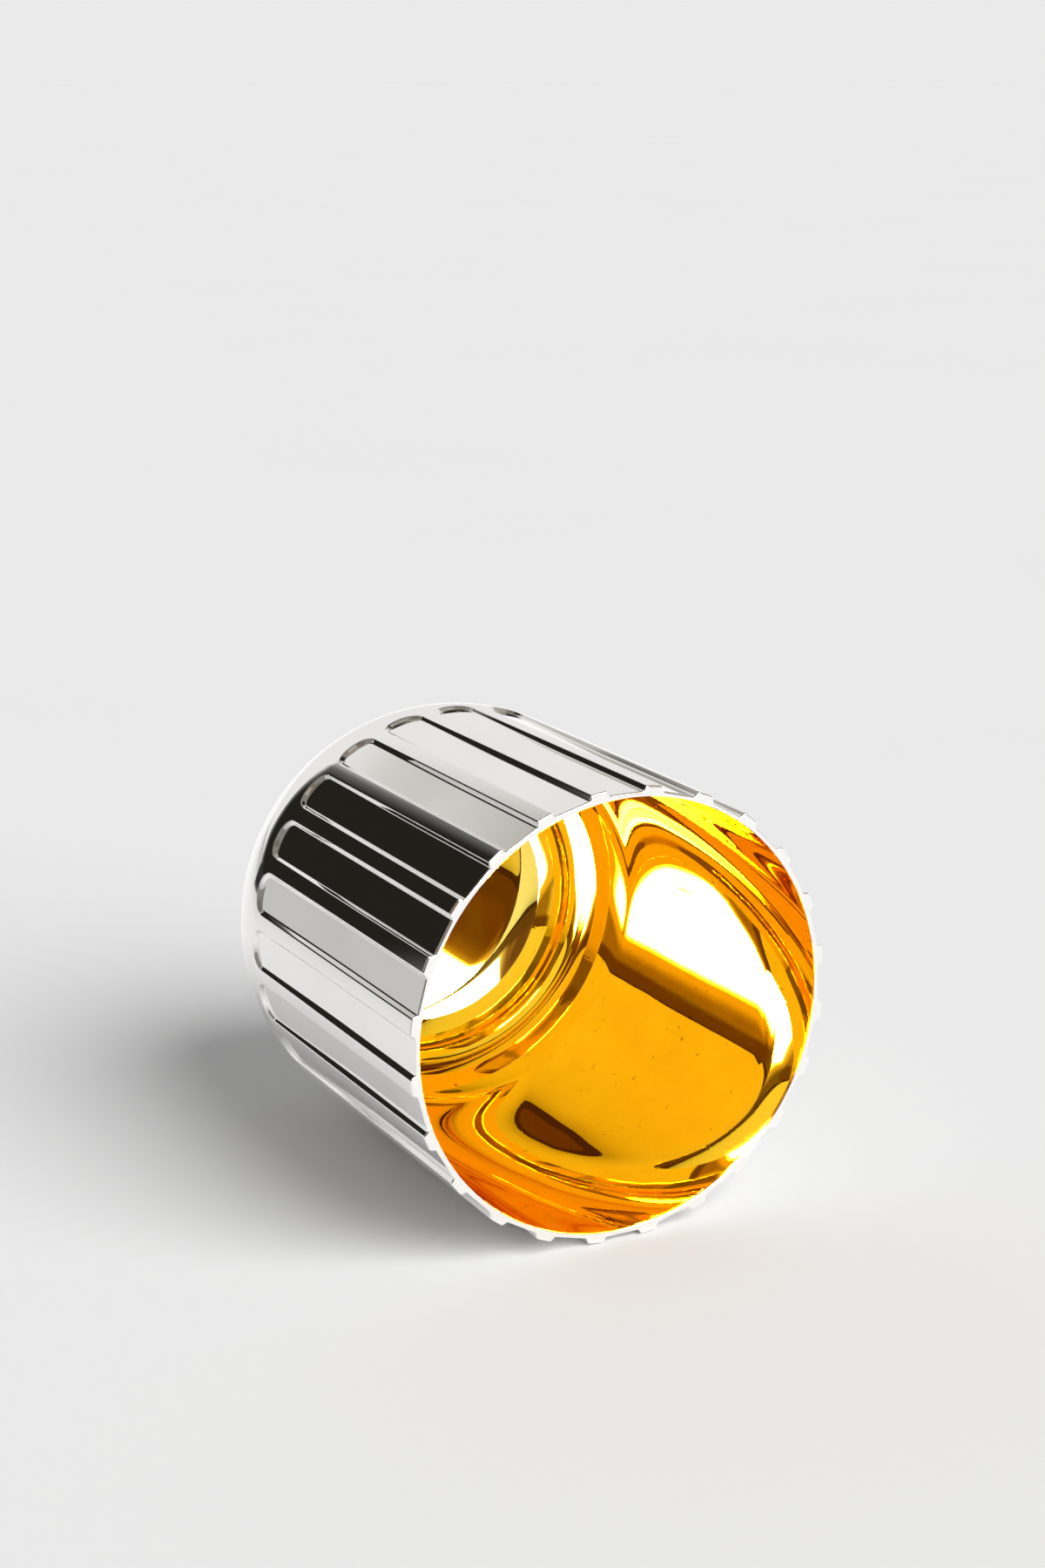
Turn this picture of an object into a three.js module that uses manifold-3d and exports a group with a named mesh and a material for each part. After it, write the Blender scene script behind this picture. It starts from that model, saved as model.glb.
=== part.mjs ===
// A round silver cup with 24 long flutes around its wall and a gilt lining, lying on its side.
// Millimetres, +Z up. The cup's axis runs along +Y, from the mouth to the foot, and the cup lies
// on its side, so the floor is the plane z = 0.
import * as THREE from "three";
import { mergeVertices } from "three/addons/utils/BufferGeometryUtils.js";
import Module from "manifold-3d";

// Driving dimensions of the whole cup
const HEIGHT = 85;
const BODY_RADIUS = 38;
const STRAIGHT_WALL = 60.5;
const FOOT_RADIUS = 20;
const WALL = 1.8;

// The flat bottom inside: how far it lies above the foot, and how much wider than the foot it is
const BASE_THICKNESS = 4;
const FLOOR_OVER_FOOT = 2.4;

// The lip, which is turned in over the edge of the lining
const LIP_THICKNESS = 0.6;
const LIP_EDGE_ROUND = 0.3;

// The lining, a smooth inner cup
const LINING_THICKNESS = 0.3;
const LINING_CLEARANCE = 0.05;

// The base plate, let into the hollow foot from outside and held by a ledge
const FOOT_RING_WIDTH = 3;
const LEDGE_WIDTH = 1;
const LEDGE_THICKNESS = 0.8;
const PLATE_THICKNESS = 0.7;
const PLATE_CLEARANCE = 0.05;
const PLATE_CHAMFER = 0.2;

// The flutes: flat floors between raised ribs, open at the lip and round at the other end
const FLUTE_COUNT = 24;
const FLUTE_DEPTH = 1;
const FLUTE_LENGTH = 61.8;
const FLUTE_END_STRETCH = 0.92;
const FLUTE_END_POWER = 2.3;
const RIB_TOP_WIDTH = 2.3;
const FLANK_SLOPE = THREE.MathUtils.degToRad(55);
const FLOOR_FILLET = 0.6;
const RIB_EDGE_ROUND = 0.5;

// How far a cutting tool runs past the surface that it cuts
const OVERRUN = 1;
const FLARE = 0.3;
const FLARE_SLOPE = THREE.MathUtils.degToRad(12);

// Facets of the round forms
const BODY_FACETS = 4 * FLUTE_COUNT;
const INNER_FACETS = 72;
const SHOULDER_STEPS = 10;
const ROUND_STEPS = 2;
const FLUTE_END_STEPS = 12;

const wasm = await Module();
wasm.setup();

function solidFrom(geometry) {
  const bare = geometry.clone();
  bare.deleteAttribute("normal");
  bare.deleteAttribute("uv");
  const merged = mergeVertices(bare);
  const vertProperties = new Float32Array(merged.attributes.position.array);
  const triVerts = new Uint32Array(merged.index.array);
  return new wasm.Manifold(new wasm.Mesh({ numProp: 3, vertProperties, triVerts }));
}

function geometryFrom(solid) {
  const mesh = solid.getMesh();
  const geometry = new THREE.BufferGeometry();
  geometry.setAttribute("position", new THREE.BufferAttribute(mesh.vertProperties, 3));
  geometry.setIndex(new THREE.BufferAttribute(mesh.triVerts, 1));
  geometry.computeVertexNormals();
  return geometry;
}

// Each profile is a list of (distance from the axis, distance from the mouth), turned about Y.
function turned(profile, facets) {
  return new THREE.LatheGeometry(profile, facets);
}

function point(radius, along) {
  return new THREE.Vector2(radius, along);
}

// A quarter ellipse from the end of a straight wall in to the edge of a flat bottom at a depth.
function shoulder(wallRadius, flatRadius, depth) {
  const points = [];
  for (let step = 0; step <= SHOULDER_STEPS; step += 1) {
    const angle = (step / SHOULDER_STEPS) * (Math.PI / 2);
    const radius = flatRadius + (wallRadius - flatRadius) * Math.cos(angle);
    const along = STRAIGHT_WALL + (depth - STRAIGHT_WALL) * Math.sin(angle);
    points.push(point(radius, along));
  }
  return points;
}

function quarterRound(centreRadius, centreAlong, round) {
  const points = [];
  for (let step = 0; step <= ROUND_STEPS; step += 1) {
    const angle = (step / ROUND_STEPS) * (Math.PI / 2);
    points.push(point(centreRadius + round * Math.sin(angle), centreAlong - round * Math.cos(angle)));
  }
  return points;
}

// The inside of the cup, the back of the lining and the bore that the lining sits in
const innerRadius = BODY_RADIUS - WALL;
const innerDepth = HEIGHT - BASE_THICKNESS;
const floorRadius = FOOT_RADIUS + FLOOR_OVER_FOOT;
const liningRadius = innerRadius + LINING_THICKNESS;
const liningDepth = innerDepth + LINING_THICKNESS;
const boreRadius = liningRadius + LINING_CLEARANCE;
const floorSeat = liningDepth + LINING_CLEARANCE;

// The base plate's rebate in the foot
const rebateRadius = FOOT_RADIUS - FOOT_RING_WIDTH;
const ledgeRadius = rebateRadius - LEDGE_WIDTH;
const plateSeat = floorSeat + LEDGE_THICKNESS;

// Height of the uncut wall above a flute's flat floor, at a distance across the flute
const floorDistance = BODY_RADIUS - FLUTE_DEPTH;
function wallAboveFloor(across) {
  return Math.sqrt(BODY_RADIUS ** 2 - across ** 2) - floorDistance;
}

// The flank of a flute, from the edge of its floor up to the top of the rib, as a list of
// { across, rise }: a hollow fillet, a straight slope and a rounded edge. Rise goes from 0 on the
// floor to 1 on the wall's surface.
function flutePath() {
  const openAngle = Math.PI / FLUTE_COUNT - RIB_TOP_WIDTH / 2 / BODY_RADIUS;
  const openHalfWidth = BODY_RADIUS * Math.sin(openAngle);
  const height = wallAboveFloor(openHalfWidth);
  const turnedHeight = (FLOOR_FILLET + RIB_EDGE_ROUND) * (1 - Math.cos(FLANK_SLOPE));
  const limit = Math.min(1, height / turnedHeight);
  const fillet = FLOOR_FILLET * limit;
  const round = RIB_EDGE_ROUND * limit;
  const slopeHeight = height - turnedHeight * limit;
  const slopeWidth = slopeHeight / Math.tan(FLANK_SLOPE);
  const flankWidth = (fillet + round) * Math.sin(FLANK_SLOPE) + slopeWidth;
  const path = [];
  for (let step = 0; step <= ROUND_STEPS; step += 1) {
    const angle = (step / ROUND_STEPS) * FLANK_SLOPE;
    const across = openHalfWidth - flankWidth + fillet * Math.sin(angle);
    path.push({ across, rise: (fillet * (1 - Math.cos(angle))) / height });
  }
  for (let step = ROUND_STEPS; step >= 0; step -= 1) {
    const angle = (step / ROUND_STEPS) * FLANK_SLOPE;
    const across = openHalfWidth - round * Math.sin(angle);
    path.push({ across, rise: 1 - (round * (1 - Math.cos(angle))) / height });
  }
  return path;
}

// The outline of a flute at one level: open past the lip, with a superellipse at the far end.
function fluteOutline(halfWidth, endCentre) {
  const outline = [new THREE.Vector2(halfWidth, -OVERRUN)];
  for (let step = 0; step <= FLUTE_END_STEPS; step += 1) {
    const angle = (step / FLUTE_END_STEPS) * Math.PI;
    const power = 2 / FLUTE_END_POWER;
    const x = Math.sign(Math.cos(angle)) * Math.abs(Math.cos(angle)) ** power;
    const y = Math.sin(angle) ** power * FLUTE_END_STRETCH;
    outline.push(new THREE.Vector2(halfWidth * x, endCentre + halfWidth * y));
  }
  outline.push(new THREE.Vector2(-halfWidth, -OVERRUN));
  return outline;
}

// Joins rings of equal point counts, listed from the lowest to the highest, and closes both ends.
function loft(rings) {
  const count = rings[0].length;
  const positions = rings.flat().flatMap((p) => [p.x, p.y, p.z]);
  const index = [];
  for (let level = 0; level < rings.length - 1; level += 1) {
    for (let i = 0; i < count; i += 1) {
      const a = level * count + i;
      const b = level * count + ((i + 1) % count);
      index.push(a, b, b + count, a, b + count, a + count);
    }
  }
  const top = (rings.length - 1) * count;
  for (let i = 1; i < count - 1; i += 1) {
    index.push(0, i + 1, i);
    index.push(top, top + i, top + i + 1);
  }
  const geometry = new THREE.BufferGeometry();
  geometry.setAttribute("position", new THREE.Float32BufferAttribute(positions, 3));
  geometry.setIndex(index);
  return geometry;
}

// The tool that cuts one flute into the top of the wall, from its floor to above the surface
function fluteTool() {
  const path = flutePath();
  const open = path[path.length - 1];
  const endCentre = FLUTE_LENGTH - open.across * FLUTE_END_STRETCH;
  const rings = path.map(({ across, rise }) =>
    fluteOutline(across, endCentre).map(
      ({ x, y }) => new THREE.Vector3(x, y, floorDistance + rise * wallAboveFloor(x)),
    ),
  );
  const flared = fluteOutline(open.across + FLARE, endCentre);
  const flareRise = FLARE * Math.tan(FLARE_SLOPE);
  rings.push(
    flared.map(({ x, y }) => new THREE.Vector3(x, y, floorDistance + wallAboveFloor(x) + flareRise)),
  );
  rings.push(flared.map(({ x, y }) => new THREE.Vector3(x, y, BODY_RADIUS + OVERRUN)));
  return loft(rings);
}

function bodyBlank() {
  const profile = [
    point(0, 0),
    ...quarterRound(BODY_RADIUS - LIP_EDGE_ROUND, LIP_EDGE_ROUND, LIP_EDGE_ROUND),
    ...shoulder(BODY_RADIUS, FOOT_RADIUS, HEIGHT),
    point(0, HEIGHT),
  ];
  return solidFrom(turned(profile, BODY_FACETS));
}

function bodyHollow() {
  const profile = [
    point(0, -OVERRUN),
    point(innerRadius, -OVERRUN),
    point(innerRadius, LIP_THICKNESS),
    point(boreRadius, LIP_THICKNESS),
    ...shoulder(boreRadius, floorRadius, floorSeat),
    point(ledgeRadius, floorSeat),
    point(ledgeRadius, plateSeat),
    point(rebateRadius, plateSeat),
    point(rebateRadius, HEIGHT + OVERRUN),
    point(0, HEIGHT + OVERRUN),
  ];
  return solidFrom(turned(profile, INNER_FACETS));
}

function flutedBody() {
  const tool = fluteTool();
  let body = bodyBlank().subtract(bodyHollow());
  for (let flute = 0; flute < FLUTE_COUNT; flute += 1) {
    const angle = (flute / FLUTE_COUNT) * 2 * Math.PI;
    body = body.subtract(solidFrom(tool.clone().rotateY(angle)));
  }
  return geometryFrom(body);
}

// The lining fills the bore from the turned-in lip down to the foot's inner face.
function giltLining() {
  const profile = [
    point(innerRadius, LIP_THICKNESS),
    point(liningRadius, LIP_THICKNESS),
    ...shoulder(liningRadius, floorRadius, liningDepth).slice(0, -1),
    point(floorRadius, floorSeat),
    point(0, floorSeat),
  ];
  const inside = [...shoulder(innerRadius, floorRadius, innerDepth), point(0, innerDepth)];
  profile.push(...inside.reverse(), point(innerRadius, LIP_THICKNESS));
  return turned(profile, INNER_FACETS);
}

function basePlate() {
  const radius = rebateRadius - PLATE_CLEARANCE;
  const outerFace = plateSeat + PLATE_THICKNESS;
  const profile = [
    point(0, plateSeat),
    point(radius, plateSeat),
    point(radius, outerFace - PLATE_CHAMFER),
    point(radius - PLATE_CHAMFER, outerFace),
    point(0, outerFace),
  ];
  return turned(profile, INNER_FACETS);
}

const silver = new THREE.MeshStandardMaterial({ color: 0xd9d8d4, roughness: 0.12, metalness: 1 });
const gilt = new THREE.MeshStandardMaterial({ color: 0xf2a516, roughness: 0.1, metalness: 1 });
const plainSilver = new THREE.MeshStandardMaterial({ color: 0xcfcec9, roughness: 0.25, metalness: 1 });

function part(name, geometry, material) {
  const mesh = new THREE.Mesh(geometry, material);
  mesh.name = name;
  return mesh;
}

const body = part("fluted_body", flutedBody(), silver);
const lining = part("gilt_lining", giltLining(), gilt);
const plate = part("base_plate", basePlate(), plainSilver);

// The cup is lowered until it touches the floor, with its middle over the origin.
const cup = new THREE.Group();
cup.add(body, lining, plate);
body.geometry.computeBoundingBox();
cup.position.set(0, -HEIGHT / 2, -body.geometry.boundingBox.min.z);

export default cup;
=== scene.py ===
"""A fluted silver cup with a gilt inside, lying on its side on a pale floor."""

import math
from collections import namedtuple

import bmesh
import bpy
import numpy as np
from mathutils import Matrix, Vector

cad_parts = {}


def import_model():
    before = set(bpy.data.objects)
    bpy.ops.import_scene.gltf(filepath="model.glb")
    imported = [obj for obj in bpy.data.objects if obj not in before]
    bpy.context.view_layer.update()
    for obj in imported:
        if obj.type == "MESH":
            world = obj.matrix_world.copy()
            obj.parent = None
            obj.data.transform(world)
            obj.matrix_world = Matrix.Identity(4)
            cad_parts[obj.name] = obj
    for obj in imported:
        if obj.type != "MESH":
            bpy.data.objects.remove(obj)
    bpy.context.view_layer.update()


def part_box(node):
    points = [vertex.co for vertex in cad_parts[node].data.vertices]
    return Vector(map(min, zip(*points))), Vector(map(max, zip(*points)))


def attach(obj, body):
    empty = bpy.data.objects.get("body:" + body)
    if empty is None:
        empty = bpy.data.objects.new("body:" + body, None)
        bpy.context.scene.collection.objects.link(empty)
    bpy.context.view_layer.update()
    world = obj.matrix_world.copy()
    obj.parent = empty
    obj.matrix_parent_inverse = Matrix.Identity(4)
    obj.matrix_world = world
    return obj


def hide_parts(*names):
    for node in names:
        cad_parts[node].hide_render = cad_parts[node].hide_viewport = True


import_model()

MM = 0.001

# Where the cup lies: its axis runs along +Y at this height, from the mouth to the foot
body_low, body_high = (Vector(corner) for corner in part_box("fluted_body"))
MOUTH_Y = body_low.y
AXIS_Z = (body_low.z + body_high.z) / 2
MOUTH = Vector((0, MOUTH_Y, AXIS_Z))
HEIGHT = (body_high.y - body_low.y) / MM

# Sizes of the body, the lining and the base plate, in millimetres
BODY_RADIUS = 38.0
STRAIGHT_WALL = 60.5
FOOT_RADIUS = 20.0
WALL = 1.8
BASE_THICKNESS = 4.0
FLOOR_OVER_FOOT = 2.4
LIP_THICKNESS = 0.6
LIP_EDGE_ROUND = 0.3
LIP_INNER_ROUND = 0.15
LINING_THICKNESS = 0.3
LINING_CLEARANCE = 0.05
FOOT_RING_WIDTH = 3.0
FOOT_EDGE_ROUND = 0.15
LEDGE_WIDTH = 1.0
LEDGE_THICKNESS = 0.8
PLATE_THICKNESS = 0.7
PLATE_CLEARANCE = 0.05
PLATE_EDGE_ROUND = 0.2

# The flutes, in millimetres
FLUTE_COUNT = 24
FLUTE_DEPTH = 1.0
FLUTE_LENGTH = 61.8
FLUTE_END_STRETCH = 0.92
FLUTE_END_POWER = 2.3
RIB_TOP_WIDTH = 2.3
FLANK_SLOPE = math.radians(55)

# Smaller rounds than the frame's 0.6 and 0.5, as the photographed flanks are narrower
FLOOR_FILLET = 0.4
RIB_EDGE_ROUND = 0.4

# The floors rise by this much from this distance to their ends, as the photographed ends are shallower
END_RISE = 0.35
RISE_FROM = 24.0

# How finely the pieces are divided, with extra rows beside the rounded edges to keep the rest true
FLOOR_SHARES = (0, 0.5, 0.85, 0.97)
ROUND_STEPS = 6
RIB_SHARES = np.array([0, 0.06, 0.35, 0.7, 1])
RIB_STEPS = len(RIB_SHARES) - 1
END_SIDE_STEPS = 9
STRAIGHT_SHARES = np.array([0.001, 0.2, 0.4, 0.46, 0.52, 0.58, 0.64, 0.7, 0.76, 0.82, 0.88, 0.94, 1])
LIP_STEPS = 5
LIP_FACE_SHARES = np.array([0, 0.08, 0.5, 0.92, 1])
CORNER_STEPS = 3
SHOULDER_STEPS = 44
HIDDEN_STEPS = 12
LINING_COLUMNS = 384
LINING_WALL_SHARES = (0.25, 0.5, 0.75, 0.98)
LINING_SHOULDER_STEPS = 64
LINING_FLOOR_SHARES = (0.97, 0.75, 0.5, 0.25, 0)
PLATE_COLUMNS = 192
PLATE_RINGS = 8
SHARP_EDGE = math.radians(35)
WELD_DISTANCE = 0.001

# The plain wall that is divided along with the flutes, beyond their ends, in millimetres
WALL_BEYOND_FLUTES = 2.0

# Sizes that follow from these
INNER_RADIUS = BODY_RADIUS - WALL
INNER_DEPTH = HEIGHT - BASE_THICKNESS
FLOOR_RADIUS = FOOT_RADIUS + FLOOR_OVER_FOOT
LINING_RADIUS = INNER_RADIUS + LINING_THICKNESS
LINING_DEPTH = INNER_DEPTH + LINING_THICKNESS
BORE_RADIUS = LINING_RADIUS + LINING_CLEARANCE
FLOOR_SEAT = LINING_DEPTH + LINING_CLEARANCE
PLATE_SEAT = FLOOR_SEAT + LEDGE_THICKNESS
REBATE_RADIUS = FOOT_RADIUS - FOOT_RING_WIDTH
FLOOR_DISTANCE = BODY_RADIUS - FLUTE_DEPTH
PITCH = 2 * math.pi / FLUTE_COUNT

# The camera, its place in outside radii from the middle of the mouth
SENSOR_WIDTH = 36.0
LENS = 61.2
CAMERA_PLACE = Vector((-5.332, -9.038, 3.823))
CAMERA_AIM = Vector((0.4565, 0.8513, -0.2589))

# Light on the cup. Places in the studio are (azimuth, elevation) as seen from the mouth, in degrees
SKY_LIGHT = 0.35
KEY_LIGHT = 0.65
KEY_PLACE = (20, 38)
KEY_ANGLE = 48

# The room, its changes of tone given by the sine of their elevation
BACKDROP = 0.82
LOW_WALL = (0.84, 0.83, 0.82)
WALL_TOP = (0.454, 0.574)
DIM_ROOM = (0.40, 0.37, 0.33)
CEILING = (0.848, 0.951)
DIM_CEILING = (0.22, 0.20, 0.18)

# The floor, and the painted light and shade that polished metal sees on it: greyer on one side of a soft line
# across X and brighter on the other, in metres
FLOOR_HALF = 30.0
FLOOR_DROP = 0.00002
PAPER = (0.83, 0.83, 0.83)
PAPER_SHADE = (0.81, 0.81, 0.81)
PAINTED_LIGHT_SPAN = (-0.28, 0.02)
PAINTED_SHADE_PAPER = (0.56, 0.555, 0.54)
PAINTED_LIGHT_PAPER = (1.0, 1.0, 1.0)

# Cards are divided in steps of this many degrees
CARD_STEP = 0.5

# Light that has left the floor finds no card brighter than this, so the floor gets no bright specks
FLOOR_GLOW = 5.0

# Cards that lie on the floor reach this far from the mouth, in metres, and this high over the floor
FAR = 4.0
FLOOR_CARD_HEIGHT = 0.001

# The dark room beyond the table's slanting near end, with its cover at shares of the way from there to FAR.
# A direction that hardly leads towards the end, or away from it, counts as leading there by the least share
TABLE_END = 0.62
TABLE_SLANT = 0.72
LEAST_AHEAD = 0.01
TABLE_AZIMUTH = np.linspace(-56, 66, 62)
TABLE_SIDES = ((-55, -50), (58, 65))
TABLE_COVER = ((0, 0), (0.005, 0.5), (0.01, 1), (0.2, 1), (1, 1))
TABLE_TONE = (0.07, 0.032, 0.012)

# Painted shade on the floor at the foot of the dark card, a dark sheet that only polished surfaces see, with
# its cover at distances from the mouth in metres
PAINTED_FLOOR_SHADE_AZIMUTH = np.arange(-165, -148, 0.25)
PAINTED_FLOOR_SHADE_SIDES = ((-163.5, -161.5), (-155, -153))
PAINTED_FLOOR_SHADE_COVER = ((0.44, 0), (0.48, 0.6), (0.52, 0.9), (0.6, 1), (FAR, 1))
PAINTED_FLOOR_SHADE_TONE = (0.03, 0.03, 0.03)

# Standing cards. Their corners run counterclockwise, and each side from one corner to the next has its own
# soft width in degrees. Full is the cover inside, a higher power draws the cover in from the sides, and
# distance is in metres
Card = namedtuple("Card", "name corners soft colour full glow power distance", defaults=(1.0, 1.0, 1, 4.0))

SOFTBOX = Card(
    "softbox",
    [(-5, 8.5), (20, 8.5), (27, 20), (37, 30), (35, 39), (24, 45), (-20, 45), (-27, 39)],
    [1.5, 4, 4, 4, 4, 4, 4, 2],
    (1, 1, 1), glow=600.0, power=3, distance=3.6,
)
SOFTBOX_EDGE = Card(
    "softbox_edge",
    [(-8, 6), (27, 6), (35, 16), (54, 32), (52, 52), (30, 60), (-16, 60), (-31, 46)],
    [2, 4, 6, 6, 6, 6, 5, 3],
    (1.0, 0.80, 0.45), full=0.95, distance=3.62,
)
FRONT_LOW = Card(
    "front_low",
    [(-52, -5), (62, -5), (60, 8), (-50, 8)],
    [2, 4, 2, 4],
    (0.13, 0.06, 0.02), full=0.9, distance=3.7,
)
FRONT_CORE = Card(
    "front_core",
    [(-36, -5), (-20, -5), (-20, 18), (-27, 27), (-36, 20)],
    [2, 3, 4, 4, 3],
    (0.14, 0.055, 0.015), full=0.8, distance=3.8,
)
FRONT_LEFT = Card(
    "front_left",
    [(-52, -5), (0, -5), (-8, 30), (-20, 44), (-45, 40)],
    [2, 3, 3, 5, 5],
    (0.26, 0.115, 0.035), full=0.95,
)
FRONT_RIGHT = Card(
    "front_right",
    [(20, -5), (58, -5), (54, 25), (45, 45), (20, 45)],
    [2, 4, 6, 6, 4],
    (0.32, 0.19, 0.08), full=0.9, distance=4.1,
)
ROOM_LEFT = Card(
    "room_left",
    [(-140, -5), (-50, -5), (-45, 60), (-150, 60)],
    [3, 3, 8, 6],
    (0.13, 0.11, 0.09), full=0.85, distance=4.2,
)
GREY_CARD = Card(
    "grey_card",
    [(-172.5, 13), (-169, 3), (-162, -1), (-147, -1), (-146, 34), (-172.5, 34)],
    [0.5, 0.7, 1, 1, 1, 2],
    (0.13, 0.13, 0.125), distance=3.85,
)
DARK_CARD = Card(
    "dark_card",
    [(-169.5, 13), (-166, 4), (-159, -1), (-148, -1), (-147, 34), (-169.5, 34)],
    [0.5, 0.7, 1, 1, 1, 2],
    (0.017, 0.015, 0.012), distance=3.8,
)
DARK_UPPER = Card(
    "dark_upper",
    [(95, 46), (178, 46), (178, 76), (95, 76)],
    [4, 3, 6, 5],
    (0.02, 0.019, 0.017),
)

# Noise over the surfaces. Along stretches it along the cup, and low and high are the values that it is cut to
Pattern = namedtuple("Pattern", "scale along detail low high", defaults=(1, 4, 0, 1))

TONES = Pattern(60, detail=8, low=0.45, high=0.7)
SMEARS = Pattern(35, along=0.4, detail=6, low=0.4, high=0.75)
HAIRLINES = Pattern(900, along=0.05, detail=2, low=0.62, high=0.75)
FLECKS = Pattern(420, detail=2, low=0.725, high=0.76)
RIPPLE_PATCHES = Pattern(22, detail=1, low=0.42, high=0.62)
RIPPLES = Pattern(110, along=0.5, detail=1)
WAVES = Pattern(30, detail=1)
PAPER_CLOUDS = Pattern(4)

# How strongly flecks colour the gilding, and the depth in metres and the strength of the hairlines
FLECK_STRENGTH = 0.8
HAIRLINE_DEPTH = 0.00002
HAIRLINE_STRENGTH = 0.06

# Light bounces often between the walls of the gilt inside
BOUNCES = 24
GLOSSY_BOUNCES = 20


def smoothstep(value, low, high):
    """From 0 below low to 1 above high, with a soft start and end."""
    t = np.clip((value - low) / (high - low), 0, 1)
    return t * t * (3 - 2 * t)


def outside_radius(along):
    """Radius of the uncut body at a distance from the mouth."""
    t = np.clip((along - STRAIGHT_WALL) / (HEIGHT - STRAIGHT_WALL), 0, 1)
    return FOOT_RADIUS + (BODY_RADIUS - FOOT_RADIUS) * np.sqrt(1 - t**2)


# The frame's body is cut into flat facets, so this one is drawn in a little to stay inside it
frame_radius = min(body_high.x - body_low.x, body_high.z - body_low.z) / 2
FIT = frame_radius / MM / float(outside_radius(FLUTE_LENGTH))


def around(radius, along, angle):
    """Points at these cylinder coordinates, the angle being measured from straight up towards +X."""
    radius, along, angle = np.broadcast_arrays(radius, along, angle)
    return np.stack([radius * np.sin(angle), along, radius * np.cos(angle)], -1)


def shoulder(wall_radius, flat_radius, depth, steps, first=0.0):
    """Quarter ellipse from a straight wall in to a flat bottom, as (radius, along) pairs."""
    angle = np.linspace(first, math.pi / 2, steps + 1)
    radius = flat_radius + (wall_radius - flat_radius) * np.cos(angle)
    along = STRAIGHT_WALL + (depth - STRAIGHT_WALL) * np.sin(angle)
    return list(zip(radius, along))


def corner(radius, along, turn, start):
    """A round corner about a centre, as (radius, along) pairs, from angle start through a quarter turn."""
    angle = start + np.linspace(0, math.pi / 2, CORNER_STEPS + 1)
    return list(zip(radius + turn * np.cos(angle), along + turn * np.sin(angle)))


def quads(rows, cols, first=0):
    """Faces of a grid of points that are numbered row by row."""
    index = first + np.arange(rows * cols).reshape(rows, cols)
    faces = np.stack([index[:-1, :-1], index[:-1, 1:], index[1:, 1:], index[1:, :-1]], -1)
    return faces.reshape(-1, 4)


class Sheets:
    """Collects sheets of quads, in millimetres, and welds them into one closed mesh."""

    def __init__(self):
        self.points = []
        self.faces = []
        self.count = 0

    def add(self, grid):
        rows, cols = grid.shape[:2]
        self.points.append(grid.reshape(-1, 3))
        self.faces.append(quads(rows, cols, self.count))
        self.count += rows * cols

    def mesh(self, name):
        points = np.concatenate(self.points)
        placed = points * [FIT * MM, MM, FIT * MM] + np.array([0, MOUTH_Y, AXIS_Z])
        data = bpy.data.meshes.new(name)
        data.from_pydata(placed.tolist(), [], np.concatenate(self.faces).tolist())
        work = bmesh.new()
        work.from_mesh(data)
        bmesh.ops.remove_doubles(work, verts=work.verts, dist=WELD_DISTANCE * MM)
        bmesh.ops.recalc_face_normals(work, faces=work.faces)
        for face in work.faces:
            face.smooth = True
        work.to_mesh(data)
        work.free()
        data.set_sharp_from_angle(angle=SHARP_EDGE)
        return data


def flank_path():
    """Flank of a flute from its floor to the rib's top, as (across, rise) pairs with rise 0 to 1."""
    open_angle = PITCH / 2 - RIB_TOP_WIDTH / 2 / BODY_RADIUS
    open_half = BODY_RADIUS * math.sin(open_angle)
    height = math.sqrt(BODY_RADIUS**2 - open_half**2) - FLOOR_DISTANCE
    turned_height = (FLOOR_FILLET + RIB_EDGE_ROUND) * (1 - math.cos(FLANK_SLOPE))
    slope_width = (height - turned_height) / math.tan(FLANK_SLOPE)
    width = (FLOOR_FILLET + RIB_EDGE_ROUND) * math.sin(FLANK_SLOPE) + slope_width
    angles = np.linspace(0, FLANK_SLOPE, ROUND_STEPS + 1)
    low = [
        (open_half - width + FLOOR_FILLET * math.sin(a), FLOOR_FILLET * (1 - math.cos(a)) / height)
        for a in angles
    ]
    high = [
        (open_half - RIB_EDGE_ROUND * math.sin(a), 1 - RIB_EDGE_ROUND * (1 - math.cos(a)) / height)
        for a in angles[::-1]
    ]
    return low + high


def lip_drop(along):
    """How far the rounded outer edge of the lip falls inside the outside."""
    reach = np.clip(LIP_EDGE_ROUND - along, 0, LIP_EDGE_ROUND)
    return LIP_EDGE_ROUND - np.sqrt(LIP_EDGE_ROUND**2 - reach**2)


def flute_point(across, along, rise):
    """A point of the flute that is up, from its place across the flute and its rise."""
    surface = np.sqrt(outside_radius(along) ** 2 - across**2)
    low = FLOOR_DISTANCE + END_RISE * smoothstep(along, RISE_FROM, FLUTE_LENGTH)
    up = low + rise * (surface - low)
    radius, angle = np.hypot(across, up), np.arctan2(across, up)
    return around(radius - lip_drop(along), along, angle)


def end_arc(steps):
    """Rounded end of a flute of half width 1, as (across, along) from one side round to the other."""
    arc = np.linspace(0, math.pi, steps + 1)
    bend = 2 / FLUTE_END_POWER
    across = np.sign(np.cos(arc)) * np.abs(np.cos(arc)) ** bend
    across[steps // 2] = 0.0
    along = np.abs(np.sin(arc)) ** bend * FLUTE_END_STRETCH
    along[-1] = 0.0
    return across, along


def flute_sheet(levels, rows, end_centre, arc_across, arc_along):
    """The flute: one row for each level, each running up one side, round the end and back."""
    sides = rows[:-1]
    sheet = []
    for half, rise in levels:
        straight = np.full(len(sides), half)
        across = np.concatenate([straight, half * arc_across, -straight])
        along = np.concatenate([sides, end_centre + half * arc_along, sides[::-1]])
        sheet.append(flute_point(across, along, rise))
    return np.stack(sheet)


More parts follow.
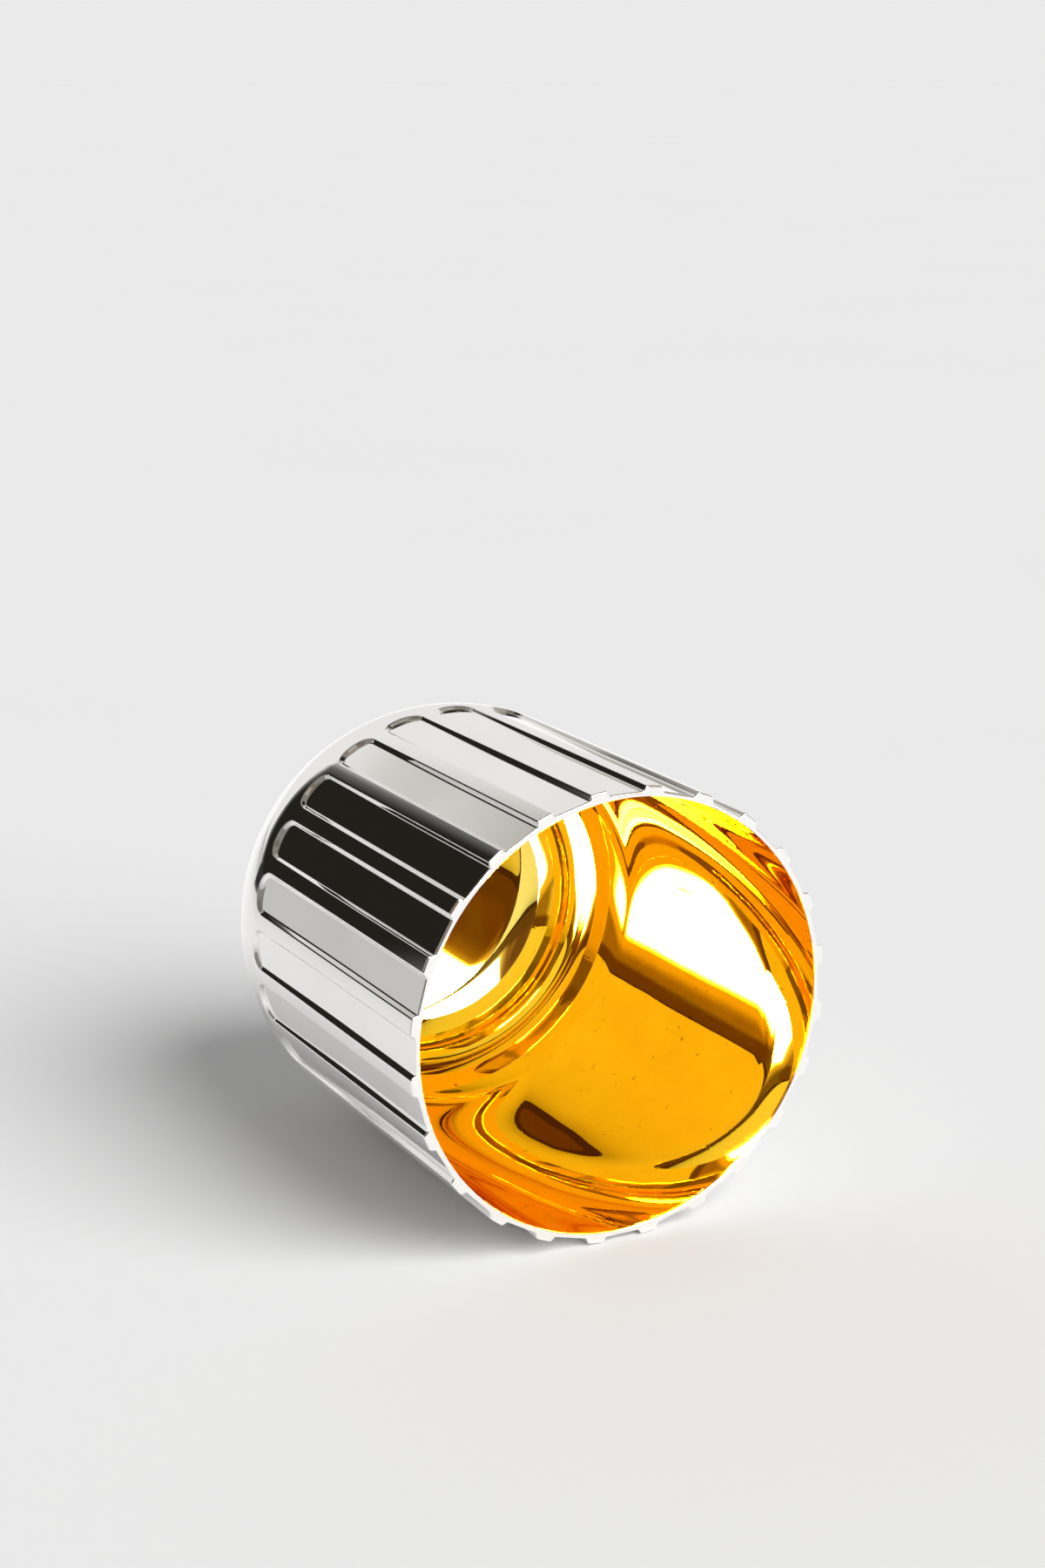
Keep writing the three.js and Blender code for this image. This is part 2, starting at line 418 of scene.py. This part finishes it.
def end_sheet(open_half, end_centre, half_columns, arc_across, arc_along):
    """The plain wall round a flute's end, up to a straight row beyond it."""
    top = FLUTE_LENGTH + WALL_BEYOND_FLUTES
    inner_along = end_centre + open_half * arc_along
    inner_angle = np.arcsin(open_half * arc_across / outside_radius(inner_along))
    up_side = end_centre + np.linspace(0, 1, END_SIDE_STEPS + 1) * (top - end_centre)
    over_top = np.linspace(1, 0, half_columns + 1)[1:]
    outer_angle = PITCH / 2 * np.concatenate([np.ones(END_SIDE_STEPS + 1), over_top])
    outer_along = np.concatenate([up_side, np.full(len(over_top), top)])
    outer_angle = np.concatenate([outer_angle, -outer_angle[:-1][::-1]])
    outer_along = np.concatenate([outer_along, outer_along[:-1][::-1]])
    share = RIB_SHARES[:, None]
    angle = inner_angle + (outer_angle - inner_angle) * share
    along = inner_along + (outer_along - inner_along) * share
    return around(outside_radius(along), along, angle)


def lip_columns(levels, rib_angles):
    """Angles of the columns all round the lip."""
    half = [math.atan2(*flute_point(across, 0.0, rise)[[0, 2]]) for across, rise in levels]
    half = np.array(half + list(rib_angles[1:]))
    cell = np.concatenate([-half[::-1], half[1:]])
    columns = np.concatenate([cell[:-1] + k * PITCH for k in range(FLUTE_COUNT)])
    return np.append(columns, columns[0] + 2 * math.pi)


def lip_face(levels, columns):
    """The flat face of the lip, out to its scalloped outline."""
    edge = [flute_point(half, 0.0, rise) for half, rise in levels]
    radius = [np.hypot(p[0], p[2]) for p in edge] + [BODY_RADIUS - LIP_EDGE_ROUND] * RIB_STEPS
    cell = np.concatenate([radius[::-1], radius[1:]])
    outline = np.append(np.tile(cell[:-1], FLUTE_COUNT), cell[0])
    inside = np.full_like(outline, INNER_RADIUS + LIP_INNER_ROUND)
    return around(inside + (outline - inside) * LIP_FACE_SHARES[:, None], 0.0, columns[None])


def fluted_body():
    flank = flank_path()
    levels = [(flank[0][0] * share, 0.0) for share in FLOOR_SHARES] + flank
    open_half = levels[-1][0]
    open_angle = math.asin(open_half / BODY_RADIUS)
    end_centre = FLUTE_LENGTH - open_half * FLUTE_END_STRETCH
    half_columns = len(levels) - 1 + RIB_STEPS

    # Rows from the lip's rounded edge to the centre of the flute's end
    lip_rows = LIP_EDGE_ROUND * (1 - np.cos(np.linspace(0, math.pi / 2, LIP_STEPS + 1)))
    straight_rows = LIP_EDGE_ROUND + (end_centre - LIP_EDGE_ROUND) * STRAIGHT_SHARES
    rows = np.concatenate([lip_rows, straight_rows])

    # One flute, half of the rib on each side of it and the wall round its end
    arc = end_arc(2 * (END_SIDE_STEPS + half_columns))
    flute = flute_sheet(levels, rows, end_centre, *arc)
    rib_angles = open_angle + (PITCH / 2 - open_angle) * RIB_SHARES
    rib = around(BODY_RADIUS - lip_drop(rows)[None], rows[None], rib_angles[:, None])
    end = end_sheet(open_half, end_centre, half_columns, *arc)
    sheets = Sheets()
    for k in range(FLUTE_COUNT):
        turn = np.array(Matrix.Rotation(k * PITCH, 3, "Y"))
        for grid in (flute, rib, rib * [-1, 1, 1], end):
            sheets.add(grid @ turn.T)

    # The shoulder, foot and inside have evenly spaced columns, and the lip has those of the flutes
    at_lip = lip_columns(levels, rib_angles)
    even = np.linspace(-PITCH / 2, 2 * math.pi - PITCH / 2, len(at_lip))
    beyond = FLUTE_LENGTH + WALL_BEYOND_FLUTES - STRAIGHT_WALL
    first = math.asin(beyond / (HEIGHT - STRAIGHT_WALL))
    outer = shoulder(BODY_RADIUS, FOOT_RADIUS, HEIGHT, SHOULDER_STEPS, first)
    foot_edge = (REBATE_RADIUS + FOOT_EDGE_ROUND, HEIGHT - FOOT_EDGE_ROUND)
    foot = corner(*foot_edge, FOOT_EDGE_ROUND, math.pi / 2)
    foot += [(REBATE_RADIUS, PLATE_SEAT)]
    foot += [(REBATE_RADIUS - LEDGE_WIDTH, along) for along in (PLATE_SEAT, FLOOR_SEAT)]
    inner = shoulder(BORE_RADIUS, FLOOR_RADIUS, FLOOR_SEAT, HIDDEN_STEPS)[::-1]
    lip = [(BORE_RADIUS, LIP_THICKNESS), (INNER_RADIUS, LIP_THICKNESS)]
    lip += corner(INNER_RADIUS + LIP_INNER_ROUND, LIP_INNER_ROUND, LIP_INNER_ROUND, math.pi)
    for profile, columns in ((outer + foot + inner, even), (lip, at_lip)):
        radius, along = np.array(profile).T
        sheets.add(around(radius[:, None], along[:, None], columns[None]))
    sheets.add(np.stack([around(*inner[-1], even), around(*lip[0], at_lip)]))
    sheets.add(lip_face(levels, at_lip))
    return sheets.mesh("fluted_body_fine")


def turned(profile, columns, name):
    """A closed profile of (radius, along) pairs turned round the axis."""
    radius, along = np.array(profile).T
    angles = np.linspace(0, 2 * math.pi, columns + 1)
    sheets = Sheets()
    sheets.add(around(radius[:, None], along[:, None], angles[None]))
    return sheets.mesh(name)


def gilt_lining():
    back = shoulder(LINING_RADIUS, FLOOR_RADIUS, LINING_DEPTH, HIDDEN_STEPS)
    profile = [(0.0, LINING_DEPTH)] + back[::-1]
    profile += [(LINING_RADIUS, LIP_THICKNESS), (INNER_RADIUS, LIP_THICKNESS)]
    profile += [(INNER_RADIUS, STRAIGHT_WALL * share) for share in LINING_WALL_SHARES]
    profile += shoulder(INNER_RADIUS, FLOOR_RADIUS, INNER_DEPTH, LINING_SHOULDER_STEPS)
    profile += [(FLOOR_RADIUS * share, INNER_DEPTH) for share in LINING_FLOOR_SHARES]
    return turned(profile, LINING_COLUMNS, "gilt_lining_fine")


def base_plate():
    radius = REBATE_RADIUS - PLATE_CLEARANCE
    outer_face = PLATE_SEAT + PLATE_THICKNESS
    profile = [(0.0, PLATE_SEAT), (radius, PLATE_SEAT)]
    profile += corner(radius - PLATE_EDGE_ROUND, outer_face - PLATE_EDGE_ROUND, PLATE_EDGE_ROUND, 0.0)
    profile += [(radius * k / PLATE_RINGS, outer_face) for k in range(PLATE_RINGS - 1, -1, -1)]
    return turned(profile, PLATE_COLUMNS, "base_plate_fine")


def put(name, data):
    """A new object in the scene."""
    made = bpy.data.objects.new(name, data)
    bpy.context.scene.collection.objects.link(made)
    return made


def piece(name, data, material, node):
    """Makes an object of a mesh that stands for a node of the frame."""
    made = put(name, data)
    made.data.materials.append(material)
    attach(made, "root")
    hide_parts(node)


def node_material(name):
    material = bpy.data.materials.new(name)
    material.use_nodes = True
    tree = material.node_tree
    return material, tree, tree.nodes["Principled BSDF"]


def remap(tree, value, low, high, to_low, to_high, kind="LINEAR"):
    """A node that turns a value between low and high into one between to_low and to_high."""
    span = tree.nodes.new("ShaderNodeMapRange")
    span.interpolation_type = kind
    span.inputs["From Min"].default_value = low
    span.inputs["From Max"].default_value = high
    span.inputs["To Min"].default_value = to_low
    span.inputs["To Max"].default_value = to_high
    tree.links.new(value, span.inputs["Value"])
    return span.outputs["Result"]


def noise(tree, pattern):
    """Noise over the object's own coordinates, not yet cut to the pattern's low and high."""
    coords = tree.nodes.new("ShaderNodeTexCoord")
    mapping = tree.nodes.new("ShaderNodeMapping")
    mapping.inputs["Scale"].default_value = (1, pattern.along, 1)
    tree.links.new(coords.outputs["Object"], mapping.inputs["Vector"])
    texture = tree.nodes.new("ShaderNodeTexNoise")
    texture.inputs["Scale"].default_value = pattern.scale
    texture.inputs["Detail"].default_value = pattern.detail
    tree.links.new(mapping.outputs["Vector"], texture.inputs["Vector"])
    return texture.outputs["Fac"]


def cut_noise(tree, pattern, to_low=0, to_high=1, kind="LINEAR"):
    """Noise cut to the pattern's low and high, and turned into values between to_low and to_high."""
    return remap(tree, noise(tree, pattern), pattern.low, pattern.high, to_low, to_high, kind)


def blend(tree, share, first, second):
    """A node that mixes two colours by a share. Either one may be another node's output."""
    mix = tree.nodes.new("ShaderNodeMix")
    mix.data_type = "RGBA"
    tree.links.new(share, mix.inputs["Factor"])
    for name, value in (("A", first), ("B", second)):
        socket = next(s for s in mix.inputs if s.name == name and s.enabled)
        if isinstance(value, tuple):
            socket.default_value = (*value, 1)
        else:
            tree.links.new(value, socket)
    return next(s for s in mix.outputs if s.enabled)


def bump(tree, height, distance, strength=1.0, normal=None):
    """A bump over another bump's normal. Distance is in metres."""
    made = tree.nodes.new("ShaderNodeBump")
    made.inputs["Strength"].default_value = strength
    made.inputs["Distance"].default_value = distance
    tree.links.new(height, made.inputs["Height"])
    if normal:
        tree.links.new(normal, made.inputs["Normal"])
    return made.outputs["Normal"]


def polished_metal(name, light, dark, edge, smooth, worn, wave, ripple=0.0, fleck=None):
    """Polished metal with faint tone changes, smears, hairline scratches and a slight waviness.

    Light, dark and edge are its colours, smooth and worn its roughness, and wave the height of its waves in
    metres. A ripple adds shorter waves in patches. A fleck is the colour of small marks where polish is lost.
    """
    material, tree, shader = node_material(name)
    shader.inputs["Metallic"].default_value = 1.0
    shader.inputs["Specular Tint"].default_value = (*edge, 1)
    tone = blend(tree, cut_noise(tree, TONES), light, dark)
    if fleck:
        tone = blend(tree, cut_noise(tree, FLECKS, 0, FLECK_STRENGTH), tone, fleck)
    tree.links.new(tone, shader.inputs["Base Color"])
    tree.links.new(cut_noise(tree, SMEARS, smooth, worn), shader.inputs["Roughness"])

    normal = bump(tree, cut_noise(tree, HAIRLINES), HAIRLINE_DEPTH, HAIRLINE_STRENGTH)
    if ripple:
        waves = tree.nodes.new("ShaderNodeMath")
        waves.operation = "MULTIPLY"
        tree.links.new(cut_noise(tree, RIPPLE_PATCHES, kind="SMOOTHSTEP"), waves.inputs[0])
        tree.links.new(noise(tree, RIPPLES), waves.inputs[1])
        normal = bump(tree, waves.outputs[0], ripple, normal=normal)
    normal = bump(tree, noise(tree, WAVES), wave, normal=normal)
    tree.links.new(normal, shader.inputs["Normal"])
    return material


def floor_material():
    """Pale paper. Polished metal sees painted light on it, brighter before the mouth, and painted shade,
    greyer behind the cup's left side.
    """
    material, tree, shader = node_material("pale_floor")
    tone = blend(tree, noise(tree, PAPER_CLOUDS), PAPER, PAPER_SHADE)
    place = tree.nodes.new("ShaderNodeNewGeometry").outputs["Position"]
    split = tree.nodes.new("ShaderNodeSeparateXYZ")
    tree.links.new(place, split.inputs["Vector"])
    # Painted light and shade, seen only in reflections: the floor's colour for glossy rays goes from grey
    # towards -X to white towards +X
    side = remap(tree, split.outputs["X"], *PAINTED_LIGHT_SPAN, 0, 1, "SMOOTHSTEP")
    seen = blend(tree, side, PAINTED_SHADE_PAPER, PAINTED_LIGHT_PAPER)
    path = tree.nodes.new("ShaderNodeLightPath")
    tree.links.new(blend(tree, path.outputs["Is Glossy Ray"], tone, seen), shader.inputs["Base Color"])
    shader.inputs["Roughness"].default_value = 1.0
    shader.inputs["Specular IOR Level"].default_value = 0.0
    return material


def floor():
    data = bpy.data.meshes.new("floor")
    sides = ((-1, -1), (1, -1), (1, 1), (-1, 1))
    data.from_pydata([(FLOOR_HALF * x, FLOOR_HALF * y, 0) for x, y in sides], [], [(0, 1, 2, 3)])
    data.materials.append(floor_material())
    made = put("floor", data)
    made.location.z = -FLOOR_DROP


def toward(azimuth, elevation):
    """Direction from the cup's mouth, azimuth 0 being out of it along -Y and 90 along +X, in degrees."""
    a, e = math.radians(azimuth), math.radians(elevation)
    return Vector((math.sin(a) * math.cos(e), -math.cos(a) * math.cos(e), math.sin(e)))


def card_material(name, colour, glow):
    """Light where the card's cover is 1, and nothing where it is 0."""
    material, tree, _ = node_material(name)
    tree.nodes.clear()
    share = tree.nodes.new("ShaderNodeAttribute")
    share.attribute_name = "cover"
    light = tree.nodes.new("ShaderNodeEmission")
    light.inputs["Color"].default_value = (*colour, 1)
    depth = tree.nodes.new("ShaderNodeLightPath").outputs["Diffuse Depth"]
    tree.links.new(remap(tree, depth, 0, 1, glow, min(glow, FLOOR_GLOW)), light.inputs["Strength"])
    clear = tree.nodes.new("ShaderNodeBsdfTransparent")
    mix = tree.nodes.new("ShaderNodeMixShader")
    out = tree.nodes.new("ShaderNodeOutputMaterial")
    tree.links.new(share.outputs["Fac"], mix.inputs["Fac"])
    tree.links.new(clear.outputs["BSDF"], mix.inputs[1])
    tree.links.new(light.outputs["Emission"], mix.inputs[2])
    tree.links.new(mix.outputs["Shader"], out.inputs["Surface"])
    return material


def card(name, grid, cover, colour, glow=1.0):
    """A card of the studio that only polished surfaces see. Cover fades it out towards its edges."""
    data = bpy.data.meshes.new(name)
    data.from_pydata(grid.reshape(-1, 3).tolist(), [], quads(*cover.shape).tolist())
    data.attributes.new("cover", "FLOAT", "POINT").data.foreach_set("value", cover.ravel().tolist())
    data.materials.append(card_material(name, colour, glow))
    made = put(name, data)
    for ray in ("camera", "diffuse", "transmission", "volume_scatter", "shadow"):
        setattr(made, "visible_" + ray, False)


def sky_card(spec):
    """A card that stands some way off."""
    margin = max(spec.soft)
    sides, heights = np.array(spec.corners, float).T
    lowest = -math.degrees(math.asin(AXIS_Z / spec.distance))
    azimuth = np.arange(sides.min() - margin, sides.max() + margin + CARD_STEP, CARD_STEP)
    elevation = np.arange(lowest, heights.max() + margin + CARD_STEP, CARD_STEP)
    cover = np.ones((len(elevation), len(azimuth)))
    for (x0, y0), (x1, y1), width in zip(spec.corners, spec.corners[1:] + spec.corners[:1], spec.soft):
        inside = (x1 - x0) * (elevation[:, None] - y0) - (y1 - y0) * (azimuth[None] - x0)
        cover *= smoothstep(inside / math.hypot(x1 - x0, y1 - y0), -width, width)
    grid = np.array([[MOUTH + spec.distance * toward(a, e) for a in azimuth] for e in elevation])
    card(spec.name, grid, spec.full * cover**spec.power, spec.colour, spec.glow)


def floor_card(name, azimuth, sides, rows, colour):
    """A card on the floor between two soft sides. Its rows are (distance from the mouth, cover) pairs."""
    (left, left_full), (right_full, right) = sides
    side = smoothstep(azimuth, left, left_full) * (1 - smoothstep(azimuth, right_full, right))
    out = np.array([toward(a, 0) for a in azimuth])
    start = np.array([0, MOUTH_Y, FLOOR_CARD_HEIGHT])
    grid = np.array([start + out * np.reshape(distance, (-1, 1)) for distance, cover in rows])
    card(name, grid, np.array([cover * side for distance, cover in rows]), colour)


def table_end():
    """The dark room beyond the near end of the table."""
    out = np.array([toward(a, 0) for a in TABLE_AZIMUTH])
    ahead = -out[:, 1] - TABLE_SLANT * out[:, 0]
    near = TABLE_END / np.maximum(ahead, LEAST_AHEAD)
    rows = [(near + np.maximum(FAR - near, 0) * share, cover) for share, cover in TABLE_COVER]
    floor_card("table_end", TABLE_AZIMUTH, TABLE_SIDES, rows, TABLE_TONE)


def world():
    """Even light on the cup. Its reflections see a pale low wall and a dim room above it."""
    made = bpy.data.worlds.new("studio")
    bpy.context.scene.world = made
    made.use_nodes = True
    tree = made.node_tree
    coords = tree.nodes.new("ShaderNodeTexCoord")
    direction = tree.nodes.new("ShaderNodeSeparateXYZ")
    tree.links.new(coords.outputs["Generated"], direction.inputs["Vector"])
    height = direction.outputs["Z"]
    room = blend(tree, remap(tree, height, *WALL_TOP, 0, 1, "SMOOTHSTEP"), LOW_WALL, DIM_ROOM)
    seen = blend(tree, remap(tree, height, *CEILING, 0, 1, "SMOOTHSTEP"), room, DIM_CEILING)
    path = tree.nodes.new("ShaderNodeLightPath")
    plain = blend(tree, path.outputs["Is Camera Ray"], (SKY_LIGHT,) * 3, (BACKDROP,) * 3)
    colour = blend(tree, path.outputs["Is Glossy Ray"], plain, seen)
    tree.links.new(colour, tree.nodes["Background"].inputs["Color"])
    tree.nodes["Background"].inputs["Strength"].default_value = 1.0


def sun():
    """The key light, which lights the floor as brightly from any height."""
    light = bpy.data.lights.new("key", "SUN")
    light.energy = KEY_LIGHT * math.pi / math.sin(math.radians(KEY_PLACE[1]))
    light.angle = math.radians(KEY_ANGLE)
    made = put("key", light)
    made.rotation_euler = toward(*KEY_PLACE).to_track_quat("Z", "Y").to_euler()
    made.visible_glossy = False


def camera():
    data = bpy.data.cameras.new("camera")
    data.sensor_width = SENSOR_WIDTH
    data.lens = LENS
    made = put("camera", data)
    made.location = MOUTH + BODY_RADIUS * MM * CAMERA_PLACE
    made.rotation_euler = CAMERA_AIM.to_track_quat("-Z", "Y").to_euler()
    bpy.context.scene.camera = made


camera()
world()
sun()
floor()
table_end()
for spec in (
    SOFTBOX, SOFTBOX_EDGE, FRONT_LOW, FRONT_CORE, FRONT_LEFT, FRONT_RIGHT, ROOM_LEFT, GREY_CARD, DARK_CARD,
):
    sky_card(spec)
# Painted shade: a dark sheet on the floor at the foot of the dark card, seen only in reflections
floor_card("painted_floor_shade", PAINTED_FLOOR_SHADE_AZIMUTH, PAINTED_FLOOR_SHADE_SIDES, PAINTED_FLOOR_SHADE_COVER, PAINTED_FLOOR_SHADE_TONE)
sky_card(DARK_UPPER)

silver = polished_metal(
    "polished_silver", light=(0.95, 0.945, 0.93), dark=(0.92, 0.91, 0.89), edge=(1, 1, 1),
    smooth=0.02, worn=0.07, wave=0.00001,
)
gilding = polished_metal(
    "polished_gilding", light=(1.0, 0.765, 0.14), dark=(0.975, 0.725, 0.12), edge=(0.96, 0.92, 0.95),
    smooth=0.008, worn=0.03, wave=0.00003, ripple=0.00003, fleck=(0.42, 0.22, 0.05),
)
plate_silver = polished_metal(
    "turned_silver", light=(0.91, 0.90, 0.88), dark=(0.86, 0.84, 0.81), edge=(1, 1, 1),
    smooth=0.14, worn=0.24, wave=0.00001,
)

piece("cup_body", fluted_body(), silver, "fluted_body")
piece("cup_lining", gilt_lining(), gilding, "gilt_lining")
piece("cup_base", base_plate(), plate_silver, "base_plate")

scene = bpy.context.scene
scene.view_settings.view_transform = "Standard"
scene.cycles.max_bounces = BOUNCES
scene.cycles.glossy_bounces = GLOSSY_BOUNCES
scene.cycles.sample_clamp_indirect = 0
